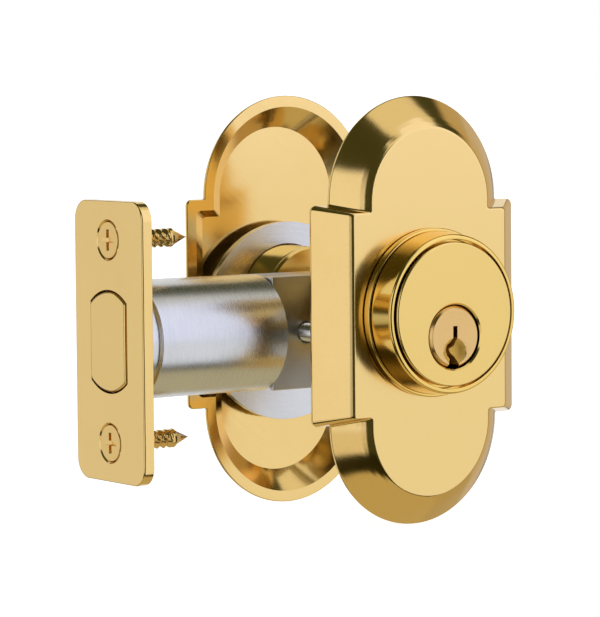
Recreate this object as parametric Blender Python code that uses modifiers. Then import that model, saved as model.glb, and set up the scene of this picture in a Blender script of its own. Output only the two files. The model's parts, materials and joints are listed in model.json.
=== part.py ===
"""Double-cylinder deadbolt door lock, as mounted on a door of standard thickness. The door is absent.

Frame: metres, +Z up. The origin is where the plug axis (Y) meets the bolt axis (X), half way through the
door.
The front trim faces -Y, the rear trim faces +Y, and the bolt is thrown towards -X, at the door's edge.
Everything is at rest with the bolt drawn back and the pin stacks at the shear line, as with a key in.
"""

from math import acos, atan, cos, hypot, pi, radians, sin, sqrt, tan

import bmesh
import bpy
from mathutils import Matrix, Vector

MM = 0.001
GAP = 0.3 * MM  # between pieces that touch or run in each other
OVER = 1 * MM  # how far a cutter reaches past what it cuts

# The door that the lock is made for
DOOR_THICKNESS = 44.45 * MM
CROSS_BORE_RADIUS = 19.05 * MM
EDGE_BORE_RADIUS = 12.7 * MM
BACKSET = 60.3 * MM

# Escutcheon: a flat cast plate with a wide bevel all round, and an arch above and below its shoulders
PLATE_HEIGHT = 88.9 * MM
PLATE_WIDTH = 52.4 * MM
PLATE_DEPTH = 6.3 * MM
PLATE_BEVEL = 6.5 * MM
PLATE_LAND = 0.6 * MM  # upright edge between the plate's back and its bevel
PLATE_WALL = 2.0 * MM
PLATE_RIM = 2.4 * MM
SHOULDER_STEP = 4.6 * MM
ARCH_STRAIGHT = 0.35 * MM  # from each shoulder to where its arch begins
SHOULDER_DRAFT = 1.6 * MM
ARCH_STEPS = 25

# Guard collar and base ring round the cylinder
PLUG_DROP = 4.6 * MM  # the plug axis lies this far below the centre of plate and collar
RING_RADIUS = 17.4 * MM
RING_THICKNESS = 1.5 * MM
RING_EDGE = 0.3 * MM
COLLAR_BACK_RADIUS = 16.9 * MM
COLLAR_FRONT_RADIUS = 16.3 * MM
COLLAR_HEIGHT = 5.4 * MM
COLLAR_ROUND = 0.6 * MM

# Cylinder
HEAD_RADIUS = 14.8 * MM
HEAD_THICKNESS = 3.4 * MM
HEAD_CHAMFER = 0.45 * MM
HEAD_PROUD = 0.5 * MM  # the face stands this far in front of the collar's rim
GROOVE = 0.5 * MM  # between head and collar
BODY_RADIUS = 12.0 * MM
PLUG_RADIUS = 6.35 * MM
PLUG_CHAMFER = 0.55 * MM
DIMPLE_RADIUS = 2.8 * MM
DIMPLE_DEPTH = 0.8 * MM
DIMPLE_PLACE = (-0.1 * MM, -3.0 * MM)
PIN_COUNT = 5
FIRST_PIN = 5.9 * MM
PIN_PITCH = 3.96 * MM
PIN_RADIUS = 1.3 * MM
BODY_TAIL = 2.1 * MM  # from the last pin's axis to the body's rear face
DRIVER_LENGTH = 4.4 * MM
CHAMBER_ROOF = 1.4 * MM
KEY_PIN_LENGTHS = [length * MM for length in (6.6, 5.2, 7.8, 5.9, 7.1)]
SPRING_WIRE = 0.2 * MM
SPRING_TURNS = 4
SPRING_POINTS = 9

# The drive behind the plug: a dog on the plug turns a lug on the tailpiece, inside the cap
SPIGOT_STEP = 0.35 * MM  # the spigot is this much smaller in radius than the plug
SPIGOT_LENGTH = 1.2 * MM
CAP_WALL = 2.3 * MM
CAP_FLOOR = 1.3 * MM
DOG_DEPTH = 1.7 * MM  # from the tailpiece's head out to the edge of its lug
TAIL_HEAD_THICKNESS = 1.5 * MM
LUG_ROOT = 0.7  # the lug starts inside the tailpiece's head, at this share of its radius
TAIL_WIDTH = 6.0 * MM
TAIL_THICKNESS = 2.0 * MM
DOG_ANGLE = radians(40)
LUG_OVERLAP = 1.3  # the lug and the dog keep this many gaps between them, measured at the spigot's edge

# Mounting plates, tapped for the cylinders, and the two long screws that draw them together
FLANGE_THICKNESS = 1.5 * MM
MOUNT_RADIUS = 18.4 * MM
MOUNT_THICKNESS = 3.6 * MM
SET_SCREW_RADIUS = 0.9 * MM
SET_SCREW_LENGTH = 6.0 * MM
SCREW_RADIUS = 2.0 * MM
SCREW_HEAD_RADIUS = 2.9 * MM
SCREW_HEAD_HEIGHT = 1.5 * MM
SCREW_CROWN = 0.75  # the flat top of a head, as a share of the head's radius
RECESS_REACH = 0.55  # the cross recess, as a share of the head's radius
RECESS_DEPTH = 1.0 * MM
POST_RADIUS = 3.2 * MM
POST_LENGTH = 7.0 * MM

# Bolt and latch
THROW = 25.4 * MM
BOLT_THICKNESS = 13.0 * MM
BOLT_LENGTH = 34.3 * MM
BOLT_PROUD = 0.4 * MM
BOLT_NOSE = 0.8 * MM
DOOR_CLEARANCE = 0.45 * MM  # round the barrel and the posts, in the door's bores
BARREL_WALL = 1.7 * MM
BARREL_STEP = 0.85 * MM  # the barrel's neck is this much smaller in radius, and is swaged in the faceplate
NECK_LENGTH = 2.6 * MM
SEAT_DEPTH = 1.0 * MM  # of the round seat in the faceplate's back, for the barrel's neck
BARREL_TAIL = 2.0 * MM  # the barrel reaches this far behind the bolt
FACEPLATE_HEIGHT = 57.15 * MM
FACEPLATE_WIDTH = 25.4 * MM
FACEPLATE_THICKNESS = 2.4 * MM
FACEPLATE_CORNER = 4.0 * MM
LATCH_SCREW_SPREAD = 20.6 * MM
LATCH_SCREW_LENGTH = 19.0 * MM
LATCH_SCREW_HEAD = 3.9 * MM
CASE_HALF_WIDTH = 6.2 * MM
CASE_HALF_HEIGHT = 11.8 * MM
CASE_WALL = 1.2 * MM
CASE_END = 12.4 * MM
HUB_RADIUS = 6.2 * MM
BOSS_RADIUS = 4.8 * MM
LAYER = 0.5 * MM  # from the middle plane to the fork on one side and the bar on the other
FORK_THICKNESS = 2.6 * MM
FORK_PRONG = 1.5 * MM
BAR_THICKNESS = 2.2 * MM
BAR_HALF_HEIGHT = 2.3 * MM
BAR_TONGUE = 8.0 * MM  # how far the bar reaches into the bolt
BAR_SHARE = 0.6  # half-height of the tongue, as a share of the bolt's radius
BAR_NECK = 3.5 * MM  # the bar's neck behind the bolt
DRIVE_PIN_DROP = 9.6 * MM  # the drive pin runs this far below the plug axis
DRIVE_PIN_RADIUS = 1.25 * MM
ROLLER_RADIUS = 2.2 * MM
ROLLER_LENGTH = 22.0 * MM
ROLLER_COVER = 2.5 * MM  # of the bolt, in front of the roller's bore

# Sizes and positions that follow. In a trim's own frame X is right, Y is up and Z points out of the door.
HALF_DOOR = DOOR_THICKNESS / 2
ARCH_RADIUS = PLATE_WIDTH / 2 - SHOULDER_STEP
ARCH_CENTRE = PLATE_HEIGHT / 2 - ARCH_RADIUS
SHOULDER_HEIGHT = ARCH_CENTRE - ARCH_STRAIGHT
SPIGOT_RADIUS = PLUG_RADIUS - SPIGOT_STEP
TAIL_HEAD_RADIUS = SPIGOT_RADIUS - DOG_DEPTH
SCREW_SPREAD = CROSS_BORE_RADIUS - POST_RADIUS - DOOR_CLEARANCE
BARREL_RADIUS = EDGE_BORE_RADIUS - DOOR_CLEARANCE
RING_BACK = PLATE_DEPTH + GAP
RING_FRONT = RING_BACK + RING_THICKNESS
COLLAR_BACK = RING_FRONT + GAP
COLLAR_FRONT = COLLAR_BACK + COLLAR_HEIGHT
FACE = COLLAR_FRONT + HEAD_PROUD
HEAD_BACK = FACE - HEAD_THICKNESS
SLEEVE_RADIUS = BODY_RADIUS + GAP  # every hole that the cylinder body passes through
PIN_PLACES = [FACE - FIRST_PIN - n * PIN_PITCH for n in range(PIN_COUNT)]
BODY_BACK = PIN_PLACES[-1] - BODY_TAIL
BORE_RADIUS = PLUG_RADIUS + GAP
CHAMBER_RADIUS = PIN_RADIUS + GAP
CHAMBER_TOP = PLUG_DROP + BODY_RADIUS - CHAMBER_ROOF
SPIGOT_BACK = BODY_BACK - SPIGOT_LENGTH
CAP_BACK = SPIGOT_BACK - TAIL_HEAD_THICKNESS - 2 * GAP - CAP_FLOOR
DOG_TURN = DOG_ANGLE + GAP / SPIGOT_RADIUS * LUG_OVERLAP  # from the dog's middle to the lug's, at rest
SWING = atan(THROW / 2 / DRIVE_PIN_DROP)  # half of the hub's turn
SLOPE = PLATE_BEVEL / PLATE_DEPTH  # of the hollow's wall, beside the plate's bevel
HOLLOW_HALF = PLATE_WIDTH / 2 - PLATE_RIM - FLANGE_THICKNESS * SLOPE
HOLLOW_SHOULDER = SHOULDER_HEIGHT - PLATE_RIM - SHOULDER_DRAFT - PLUG_DROP
FLANGE_RADIUS = min(HOLLOW_HALF, hypot(HOLLOW_HALF - SHOULDER_STEP, HOLLOW_SHOULDER)) - 2 * GAP
BOLT_RADIUS = BARREL_RADIUS - BARREL_WALL - GAP
BOLT_FACE = BACKSET + BOLT_PROUD
BOLT_BACK = BOLT_FACE - BOLT_LENGTH
BARREL_BACK = BOLT_BACK - BARREL_TAIL
PLATE_SEAT = BACKSET - FACEPLATE_THICKNESS  # the faceplate's back
NECK_RADIUS = BARREL_RADIUS - BARREL_STEP

COLOURS = {
    "polished_brass": ((0.86, 0.62, 0.25), 0.18, 1.0),
    "satin_brass": ((0.84, 0.66, 0.32), 0.32, 1.0),
    "plug_brass": ((0.80, 0.62, 0.40), 0.35, 1.0),
    "raw_brass": ((0.72, 0.56, 0.27), 0.45, 1.0),
    "zinc_steel": ((0.62, 0.63, 0.65), 0.40, 1.0),
    "hard_steel": ((0.42, 0.43, 0.45), 0.35, 1.0),
    "spring_steel": ((0.55, 0.56, 0.58), 0.30, 1.0),
}


def clear_scene():
    for old in list(bpy.data.objects):
        bpy.data.objects.remove(old)
    for old in list(bpy.data.collections):
        bpy.data.collections.remove(old)


def collection(name):
    made = bpy.data.collections.new(name)
    bpy.context.scene.collection.children.link(made)
    return made


def material(name):
    colour, roughness, metallic = COLOURS[name]
    made = bpy.data.materials.get(name) or bpy.data.materials.new(name)
    made.use_nodes = True
    shader = made.node_tree.nodes["Principled BSDF"]
    shader.inputs["Base Color"].default_value = (*colour, 1.0)
    shader.inputs["Roughness"].default_value = roughness
    shader.inputs["Metallic"].default_value = metallic
    return made


def frame(name, location, turns):
    """An empty whose Z points the way that its parts are turned or extruded."""
    empty = bpy.data.objects.new(name, None)
    empty.location = location
    empty.rotation_euler = [radians(turn) for turn in turns]
    parts.objects.link(empty)
    return empty


def add(name, mesh, parent, finish, place=(0, 0, 0), turns=(0, 0, 0)):
    """A named part, in its frame."""
    made = bpy.data.objects.new(name, mesh)
    made.parent = parent
    made.location = place
    made.rotation_euler = turns
    parts.objects.link(made)
    if finish:
        mesh.materials.clear()
        mesh.materials.append(material(finish))
    return made


def as_cutter(cutter):
    parts.objects.unlink(cutter)
    cutters.objects.link(cutter)
    cutter.hide_render = True
    cutter.display_type = "WIRE"
    return cutter


def boolean(target, other, operation):
    step = target.modifiers.new(operation.lower(), "BOOLEAN")
    step.operation = operation
    step.object = other
    step.solver = "EXACT"


def cut(target, *others):
    for other in others:
        boolean(target, as_cutter(other), "DIFFERENCE")


def join(target, *others):
    for other in others:
        boolean(target, as_cutter(other), "UNION")


def round_points(radius, steps, centre=(0, 0), start=0.0, sweep=2 * pi):
    """Points along an arc. A full circle leaves out its last point."""
    last = steps if sweep >= 2 * pi else steps - 1
    angles = [start + sweep * n / last for n in range(steps)]
    return [(centre[0] + radius * cos(a), centre[1] + radius * sin(a)) for a in angles]


def slab_mesh(name, outlines, low, high):
    """A flat plate from closed outlines: the first is its edge and the others are holes through it."""
    curve = bpy.data.curves.new(name, "CURVE")
    curve.dimensions = "2D"
    curve.fill_mode = "BOTH"
    curve.extrude = (high - low) / 2
    for outline in outlines:
        spline = curve.splines.new("POLY")
        spline.points.add(len(outline) - 1)
        spline.use_cyclic_u = True
        for point, (x, y) in zip(spline.points, outline):
            point.co = (x, y, 0, 1)
    holder = bpy.data.objects.new(name, curve)
    bpy.context.scene.collection.objects.link(holder)
    graph = bpy.context.evaluated_depsgraph_get()
    mesh = bpy.data.meshes.new_from_object(holder.evaluated_get(graph))
    bpy.data.objects.remove(holder)
    mesh.transform(Matrix.Translation((0, 0, (low + high) / 2)))
    work = bmesh.new()
    work.from_mesh(mesh)
    bmesh.ops.remove_doubles(work, verts=work.verts, dist=0.001 * MM)
    bmesh.ops.recalc_face_normals(work, faces=work.faces)
    work.to_mesh(mesh)
    work.free()
    return mesh


def slab(name, outlines, low, high, parent, finish, **where):
    return add(name, slab_mesh(name, outlines, low, high), parent, finish, **where)


def turned(name, profile, parent, finish, steps=40, place=(0, 0, 0), turns=(0, 0, 0)):
    """A profile of (radius, height) points, down its outer side, turned about its frame's Z."""
    closed = min(radius for radius, _ in profile) > 0
    count = len(profile)
    edges = [(n, (n + 1) % count) for n in range(count if closed else count - 1)]
    mesh = bpy.data.meshes.new(name)
    mesh.from_pydata([(radius, 0, height) for radius, height in profile], edges, [])
    made = add(name, mesh, parent, finish, place=place, turns=turns)
    screw = made.modifiers.new("turn", "SCREW")
    screw.steps = screw.render_steps = steps
    screw.use_merge_vertices = True
    screw.merge_threshold = 0.001 * MM
    screw.use_smooth_shade = False
    return made


def rod(name, radius, low, high, parent, finish=None, steps=24, place=(0, 0), turns=(0, 0, 0)):
    """A cylinder from low to high along Z, or along the axis that turns gives it."""
    work = bmesh.new()
    bmesh.ops.create_cone(
        work, cap_ends=True, segments=steps, radius1=radius, radius2=radius, depth=high - low
    )
    bmesh.ops.translate(work, verts=work.verts, vec=(0, 0, (low + high) / 2))
    mesh = bpy.data.meshes.new(name)
    work.to_mesh(mesh)
    work.free()
    return add(name, mesh, parent, finish, place=(*place, 0), turns=turns)


def box(name, low, high, parent, finish=None):
    work = bmesh.new()
    bmesh.ops.create_cube(work, size=1.0)
    size = Vector(high) - Vector(low)
    bmesh.ops.scale(work, vec=size, verts=work.verts)
    bmesh.ops.translate(work, verts=work.verts, vec=(Vector(low) + Vector(high)) / 2)
    mesh = bpy.data.meshes.new(name)
    work.to_mesh(mesh)
    work.free()
    return add(name, mesh, parent, finish)


def upright(name, radius, low, high, height, parent, finish=None, steps=16):
    """A cylinder along the frame's Y, at this height along its Z."""
    made = rod(name, radius, -high, -low, parent, finish, steps, turns=(pi / 2, 0, 0))
    made.location = (0, 0, height)
    return made


def plate_outline(inset, draft):
    """Half-turn symmetric outline with shoulders and concentric arches, inset from the plate's back edge."""
    half = PLATE_WIDTH / 2 - inset
    arch = half - SHOULDER_STEP
    shoulder = SHOULDER_HEIGHT - draft
    upper = [(half, -shoulder), (half, shoulder), (arch, shoulder)]
    upper += round_points(arch, ARCH_STEPS, (0, ARCH_CENTRE), 0, pi)
    upper += [(-arch, shoulder), (-half, shoulder), (-half, -shoulder)]
    lower = [(-arch, -shoulder)]
    lower += round_points(arch, ARCH_STEPS, (0, -ARCH_CENTRE), pi, pi)
    lower += [(arch, -shoulder)]
    return [(x, y + PLUG_DROP) for x, y in upper + lower]


def loft(name, sections, parent, finish=None):
    """A closed solid through outlines with the same number of points, each at its own height."""
    work = bmesh.new()
    rings = [[work.verts.new((x, y, z)) for x, y in outline] for outline, z in sections]
    for lower, upper in zip(rings, rings[1:]):
        for n in range(len(lower)):
            after = (n + 1) % len(lower)
            work.faces.new((lower[n], lower[after], upper[after], upper[n]))
    work.faces.new(rings[0][::-1])
    work.faces.new(rings[-1])
    bmesh.ops.recalc_face_normals(work, faces=work.faces)
    bmesh.ops.triangulate(work, faces=[face for face in work.faces if len(face.verts) > 4])
    mesh = bpy.data.meshes.new(name)
    work.to_mesh(mesh)
    work.free()
    return add(name, mesh, parent, finish)


def oblong(half_width, half_height, turn):
    """A rectangle's corners about the origin, turned by this angle."""
    corners = [(half_width, -half_height), (half_width, half_height)]
    corners += [(-half_width, half_height), (-half_width, -half_height)]
    return [tuple(Matrix.Rotation(turn, 2) @ Vector(corner)) for corner in corners]


def sector(name, inner, outer, middle, low, high, parent, finish=None):
    """A block between two radii, DOG_ANGLE wide, about the direction middle."""
    start = middle - DOG_ANGLE / 2
    steps = 6
    outline = round_points(outer, steps, start=start, sweep=DOG_ANGLE)
    outline += round_points(inner, steps, start=start, sweep=DOG_ANGLE)[::-1]
    return slab(name, [outline], low, high, parent, finish)


def escutcheon(side, trim):
    """Cast plate: outer bevel, hollow back and the hole for the cylinder body."""
    plate = loft(
        f"{side}_escutcheon",
        [
            (plate_outline(0, 0), 0),
            (plate_outline(0, 0), PLATE_LAND),
            (plate_outline(PLATE_BEVEL, SHOULDER_DRAFT), PLATE_DEPTH),
        ],
        trim,
        "polished_brass",
    )
    pocket_depth = PLATE_DEPTH - PLATE_WALL
    mouth = plate_outline(PLATE_RIM - OVER * SLOPE, PLATE_RIM)
    bottom = plate_outline(PLATE_RIM + pocket_depth * SLOPE, PLATE_RIM + SHOULDER_DRAFT)
    pocket = loft(f"{side}_pocket", [(mouth, -OVER), (bottom, pocket_depth)], trim)
    top = PLATE_DEPTH + OVER
    hole = rod(f"{side}_plate_hole", SLEEVE_RADIUS, 0, top, trim, steps=40, place=(0, PLUG_DROP))
    cut(plate, pocket, hole)


def base_ring(side, trim):
    profile = [
        (RING_RADIUS - RING_EDGE, RING_FRONT),
        (RING_RADIUS, RING_FRONT - RING_EDGE),
        (RING_RADIUS, RING_BACK),
        (SLEEVE_RADIUS, RING_BACK),
        (SLEEVE_RADIUS, RING_FRONT),
    ]
    turned(f"{side}_base_ring", profile, trim, "polished_brass", place=(0, PLUG_DROP, 0))


def guard_collar(side, trim):
    """Loose ring round the head: a rounded rim in front, and a lip that the head holds down."""
    rim = [
        (radius + COLLAR_FRONT_RADIUS - COLLAR_ROUND, height + COLLAR_FRONT - COLLAR_ROUND)
        for radius, height in round_points(COLLAR_ROUND, 5, start=pi / 2, sweep=-pi / 2)
    ]
    lip_top = HEAD_BACK - GAP
    profile = [
        (HEAD_RADIUS + GROOVE, COLLAR_FRONT),
        *rim,
        (COLLAR_BACK_RADIUS, COLLAR_BACK),
        (SLEEVE_RADIUS, COLLAR_BACK),
        (SLEEVE_RADIUS, lip_top),
        (HEAD_RADIUS + GROOVE, lip_top),
    ]
    turned(f"{side}_guard_collar", profile, trim, "polished_brass", place=(0, PLUG_DROP, 0))


def mounting_plate(side, trim):
    """Tapped plate on the door's face, with a set screw that locks the cylinder in it.

    The front one carries two tapped posts, and the rear one is counterbored for the screw heads.
    """
    hole = SCREW_RADIUS + GAP
    places = (("left", -SCREW_SPREAD), ("right", SCREW_SPREAD))
    root = FLANGE_THICKNESS / 2
    plate = rod(f"{side}_mounting_plate", FLANGE_RADIUS, 0, FLANGE_THICKNESS, trim, "zinc_steel", 48)
    join(plate, rod(f"{side}_mount_hub", MOUNT_RADIUS, root, MOUNT_THICKNESS, trim, steps=48))
    top = MOUNT_THICKNESS + OVER
    if side == "front":
        for end, x in places:
            join(plate, rod(f"front_{end}_post", POST_RADIUS, -POST_LENGTH, root, trim, place=(x, 0)))
    cut(plate, rod(f"{side}_mount_hole", SLEEVE_RADIUS, -OVER, top, trim, steps=40, place=(0, PLUG_DROP)))
    for end, x in places:
        cut(plate, rod(f"{side}_{end}_hole", hole, -POST_LENGTH - OVER, top, trim, steps=16, place=(x, 0)))
        if side == "rear":
            wide = SCREW_HEAD_RADIUS + GAP
            cut(plate, rod(f"rear_{end}_counterbore", wide, FLANGE_THICKNESS, top, trim, place=(x, 0)))
    tip = PLUG_DROP - BODY_RADIUS - GAP
    end = tip - SET_SCREW_LENGTH
    height = MOUNT_THICKNESS / 2
    bottom = -FLANGE_RADIUS - OVER
    cut(plate, upright(f"{side}_set_hole", SET_SCREW_RADIUS + GAP, bottom, tip + OVER, height, trim))
    screw = upright(f"{side}_set_screw", SET_SCREW_RADIUS, end, tip, height, trim, "hard_steel")
    slot = SET_SCREW_RADIUS / 4
    low = (-SET_SCREW_RADIUS - OVER, end - OVER, height - slot)
    high = (SET_SCREW_RADIUS + OVER, end + SET_SCREW_RADIUS, height + slot)
    cut(screw, box(f"{side}_set_slot", low, high, trim))


def cylinder_body(side, trim):
    """Round head and body, bored for the plug, with a chamber for each pin stack above it."""
    profile = [
        (0, FACE),
        (HEAD_RADIUS - HEAD_CHAMFER, FACE),
        (HEAD_RADIUS, FACE - HEAD_CHAMFER),
        (HEAD_RADIUS, HEAD_BACK),
        (BODY_RADIUS, HEAD_BACK),
        (BODY_RADIUS, BODY_BACK),
        (0, BODY_BACK),
    ]
    body = turned(f"{side}_cylinder_body", profile, trim, "satin_brass", 48, place=(0, PLUG_DROP, 0))
    cut(body, rod(f"{side}_plug_bore", BORE_RADIUS, BODY_BACK - OVER, FACE + OVER, trim, steps=32))
    for n, height in enumerate(PIN_PLACES, 1):
        chamber = upright(f"{side}_chamber_{n}", CHAMBER_RADIUS, PLUG_RADIUS / 2, CHAMBER_TOP, height, trim)
        cut(body, chamber)


def keyway_outline():
    """A generic warded keyway: a straight slot for the blade's back over two side wards."""
    left = [(-0.5, 2.2), (-0.5, -0.3), (-0.9, -1.1), (-1.8, -1.6), (-2.05, -2.3), (-2.0, -3.0)]
    left += [(-1.7, -3.7), (-1.0, -4.6), (-1.5, -5.1), (-1.7, -5.7), (-2.0, -7.0)]
    right = [(1.2, -7.0), (1.0, -5.7), (0.6, -4.7), (0.3, -4.1), (-0.6, -3.4), (-1.2, -2.5)]
    right += [(0.15, -1.9), (0.4, -1.0), (0.6, -0.3), (0.6, 2.2)]
    return [(x * MM, y * MM) for x, y in left + right]


def plug(side, trim):
    """The turning plug: keyway, key-guide dimple, pin chambers, rear spigot and its dog."""
    profile = [
        (0, FACE),
        (PLUG_RADIUS - PLUG_CHAMFER, FACE),
        (PLUG_RADIUS, FACE - PLUG_CHAMFER),
        (PLUG_RADIUS, BODY_BACK),
        (SPIGOT_RADIUS, BODY_BACK),
        (SPIGOT_RADIUS, SPIGOT_BACK),
        (0, SPIGOT_BACK),
    ]
    core = turned(f"{side}_plug", profile, trim, "plug_brass", 32)
    keyway_end = PIN_PLACES[-1] - CHAMBER_RADIUS
    keyway = slab(f"{side}_keyway", [keyway_outline()], keyway_end, FACE + OVER, trim, None)
    cone = [(0, OVER), (DIMPLE_RADIUS, OVER), (DIMPLE_RADIUS, 0), (0, -DIMPLE_DEPTH)]
    dimple = turned(f"{side}_dimple", cone, trim, None, 24, place=(*DIMPLE_PLACE, FACE))
    cut(core, dimple, keyway)
    floor = PLUG_RADIUS - max(KEY_PIN_LENGTHS) - GAP
    top = PLUG_RADIUS + OVER
    for n, height in enumerate(PIN_PLACES, 1):
        cut(core, upright(f"{side}_plug_chamber_{n}", CHAMBER_RADIUS, floor, top, height, trim))
    inner = TAIL_HEAD_RADIUS + GAP
    low, high = SPIGOT_BACK - TAIL_HEAD_THICKNESS - GAP, SPIGOT_BACK + GAP
    join(core, sector(f"{side}_dog", inner, SPIGOT_RADIUS, pi / 2, low, high, trim))


def plug_cap(side, trim):
    """Cup screwed on the spigot: it keeps the plug in its bore and the tailpiece in the cap."""
    outer = SPIGOT_RADIUS + CAP_WALL
    cavity = SPIGOT_RADIUS + GAP
    hole = sqrt(TAIL_WIDTH**2 + TAIL_THICKNESS**2) / 2 + GAP
    floor = CAP_BACK + CAP_FLOOR
    profile = [
        (outer, BODY_BACK - GAP),
        (outer, CAP_BACK),
        (hole, CAP_BACK),
        (hole, floor),
        (cavity, floor),
        (cavity, BODY_BACK - GAP),
    ]
    turned(f"{side}_plug_cap", profile, trim, "raw_brass", 32)


def tailpiece(side, trim, lug_side):
    """Flat blade from the plug's cap into the hub, with a lug that the dog pushes."""
    direction = pi / 2 - lug_side * DOG_TURN
    top = SPIGOT_BACK - GAP
    bottom = top - TAIL_HEAD_THICKNESS
    head = rod(f"{side}_tailpiece", TAIL_HEAD_RADIUS, bottom, top, trim, "zinc_steel", 24)
    inner = TAIL_HEAD_RADIUS * LUG_ROOT
    join(head, sector(f"{side}_lug", inner, SPIGOT_RADIUS, direction, bottom, top, trim))
    tip = GAP - HALF_DOOR
    section = oblong(TAIL_WIDTH / 2, TAIL_THICKNESS / 2, direction)
    join(head, slab(f"{side}_blade", [section], tip, bottom + GAP, trim, None))


def pin_stacks(side, trim):
    """Key pins in the plug and sprung driver pins in the body, meeting at the shear line."""
    shear = sqrt(PLUG_RADIUS**2 - PIN_RADIUS**2)
    driver_low = BORE_RADIUS
    driver_high = driver_low + DRIVER_LENGTH
    for n, (height, length) in enumerate(zip(PIN_PLACES, KEY_PIN_LENGTHS), 1):
        upright(f"{side}_key_pin_{n}", PIN_RADIUS, shear - length, shear, height, trim, "raw_brass", 12)
        upright(f"{side}_driver_pin_{n}", PIN_RADIUS, driver_low, driver_high, height, trim, "raw_brass", 12)
        spring(f"{side}_pin_spring_{n}", driver_high + GAP, CHAMBER_TOP - GAP, height, trim)


def spring(name, low, high, height, trim):
    """Open coil along the frame's Y."""
    radius = PIN_RADIUS - SPRING_WIRE
    count = SPRING_TURNS * SPRING_POINTS + 1
    curve = bpy.data.curves.new(name, "CURVE")
    curve.dimensions = "3D"
    curve.bevel_depth = SPRING_WIRE
    curve.bevel_resolution = 0
    curve.use_fill_caps = True
    spline = curve.splines.new("POLY")
    spline.points.add(count - 1)
    first, last = low + SPRING_WIRE, high - SPRING_WIRE
    for n, point in enumerate(spline.points):
        angle = 2 * pi * n / SPRING_POINTS
        y = first + (last - first) * n / (count - 1)
        point.co = (radius * cos(angle), y, height + radius * sin(angle), 1)
    add(name, curve, trim, "spring_steel")


def trim_side(side, turn, lug_side):
    """One complete trim: everything that stands on one face of the door, and its cylinder."""
    face = -HALF_DOOR if side == "front" else HALF_DOOR
    trim = frame(f"{side}_trim", (0, face, 0), (90, 0, turn))
    escutcheon(side, trim)
    base_ring(side, trim)
    guard_collar(side, trim)
    mounting_plate(side, trim)
    cylinder_body(side, trim)
    plug(side, trim)
    plug_cap(side, trim)
    tailpiece(side, trim, lug_side)
    pin_stacks(side, trim)


def through_screws(middle):
    """Long screws: heads in the rear mounting plate, ends in the front one's tapped posts."""
    head_low = -(HALF_DOOR + FLANGE_THICKNESS + GAP)
    head_high = head_low - SCREW_HEAD_HEIGHT
    tip = HALF_DOOR + MOUNT_THICKNESS / 2
    for end, x in (("left", -SCREW_SPREAD), ("right", SCREW_SPREAD)):
        profile = [
            (0, tip),
            (SCREW_RADIUS - GAP, tip),
            (SCREW_RADIUS, tip - 2 * GAP),
            (SCREW_RADIUS, head_low),
            (SCREW_HEAD_RADIUS, head_low),
            (SCREW_HEAD_RADIUS, head_high + GAP),
            (SCREW_HEAD_RADIUS * SCREW_CROWN, head_high),
            (0, head_high),
        ]
        screw = turned(f"through_screw_{end}", profile, middle, "zinc_steel", 16, place=(x, 0, 0))
        cross_recess(screw, (x, 0, head_high), SCREW_HEAD_RADIUS * RECESS_REACH, middle)


def cross_recess(screw, place, reach, parent):
    """Two crossed slots in the flat top of a screw head."""
    half = reach / 4
    for n, (wide, tall) in enumerate(((reach, half), (half, reach)), 1):
        low = (place[0] - wide, place[1] - tall, place[2] - RECESS_DEPTH)
        high = (place[0] + wide, place[1] + tall, place[2] + RECESS_DEPTH)
        cut(screw, box(f"{screw.name}_recess_{n}", low, high, parent))


def fork_clearance():
    """How far the drive pin strays from the fork's middle line when turn and travel are proportional."""
    angle = acos(sqrt(DRIVE_PIN_DROP * SWING / (THROW / 2)))
    return (THROW / 2 * angle / SWING - DRIVE_PIN_DROP * tan(angle)) * cos(angle)


def hub(middle):
    """Hub of the bolt work: boss, blade slot and a forked arm that reaches over the drive pin."""
    slot = DRIVE_PIN_RADIUS + fork_clearance() + GAP
    arm = slot + FORK_PRONG
    tip = sqrt(DRIVE_PIN_DROP**2 + (THROW / 2) ** 2) + DRIVE_PIN_RADIUS + GAP
    root = DRIVE_PIN_DROP - DRIVE_PIN_RADIUS - 2 * GAP
    turn = Matrix.Rotation(SWING, 2)
    low, high = LAYER, LAYER + FORK_THICKNESS
    body = rod("hub", BOSS_RADIUS, -CASE_HALF_WIDTH - GAP, CASE_HALF_WIDTH + GAP, middle, "zinc_steel")
    disc = rod("hub_disc", HUB_RADIUS, low, high, middle)
    fork = [(-arm, 0), (-arm, -tip), (-slot, -tip), (-slot, -root), (slot, -root), (slot, -tip)]
    fork += [(arm, -tip), (arm, 0)]
    fork = [tuple(turn @ Vector(point)) for point in fork]
    join(body, disc, slab("hub_fork", [fork], low, high, middle, None))
    section = oblong(TAIL_WIDTH / 2 + GAP, TAIL_THICKNESS / 2 + GAP, pi / 2 - DOG_TURN)
    reach = CASE_HALF_WIDTH + OVER
    cut(body, slab("hub_slot", [section], -reach, reach, middle, None))


def latch_case(middle):
    """Two pressed half-shells round the hub, open below for the fork and at both ends."""
    left, right = -(BARREL_BACK - GAP), CASE_END
    inner = CASE_HALF_WIDTH - CASE_WALL
    top = CASE_HALF_HEIGHT
    for name, face in (("latch_case_front", 1), ("latch_case_rear", -1)):
        near, far = sorted((face * GAP / 2, face * CASE_HALF_WIDTH))
        shell = box(name, (left, -top, near), (right, top, far), middle, "zinc_steel")
        near, far = sorted((-face * OVER, face * inner))
        low = (left - OVER, -top - OVER, near)
        high = (right + OVER, top - CASE_WALL, far)
        hollow = box(f"{name}_hollow", low, high, middle)
        reach = CASE_HALF_WIDTH + OVER
        boss_hole = rod(f"{name}_boss_hole", BOSS_RADIUS + GAP, -reach, reach, middle)
        wide, place = SCREW_RADIUS + GAP, (-SCREW_SPREAD, 0)
        screw_hole = rod(f"{name}_screw_hole", wide, -reach, reach, middle, steps=16, place=place)
        cut(shell, hollow, boss_hole, screw_hole)


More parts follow.
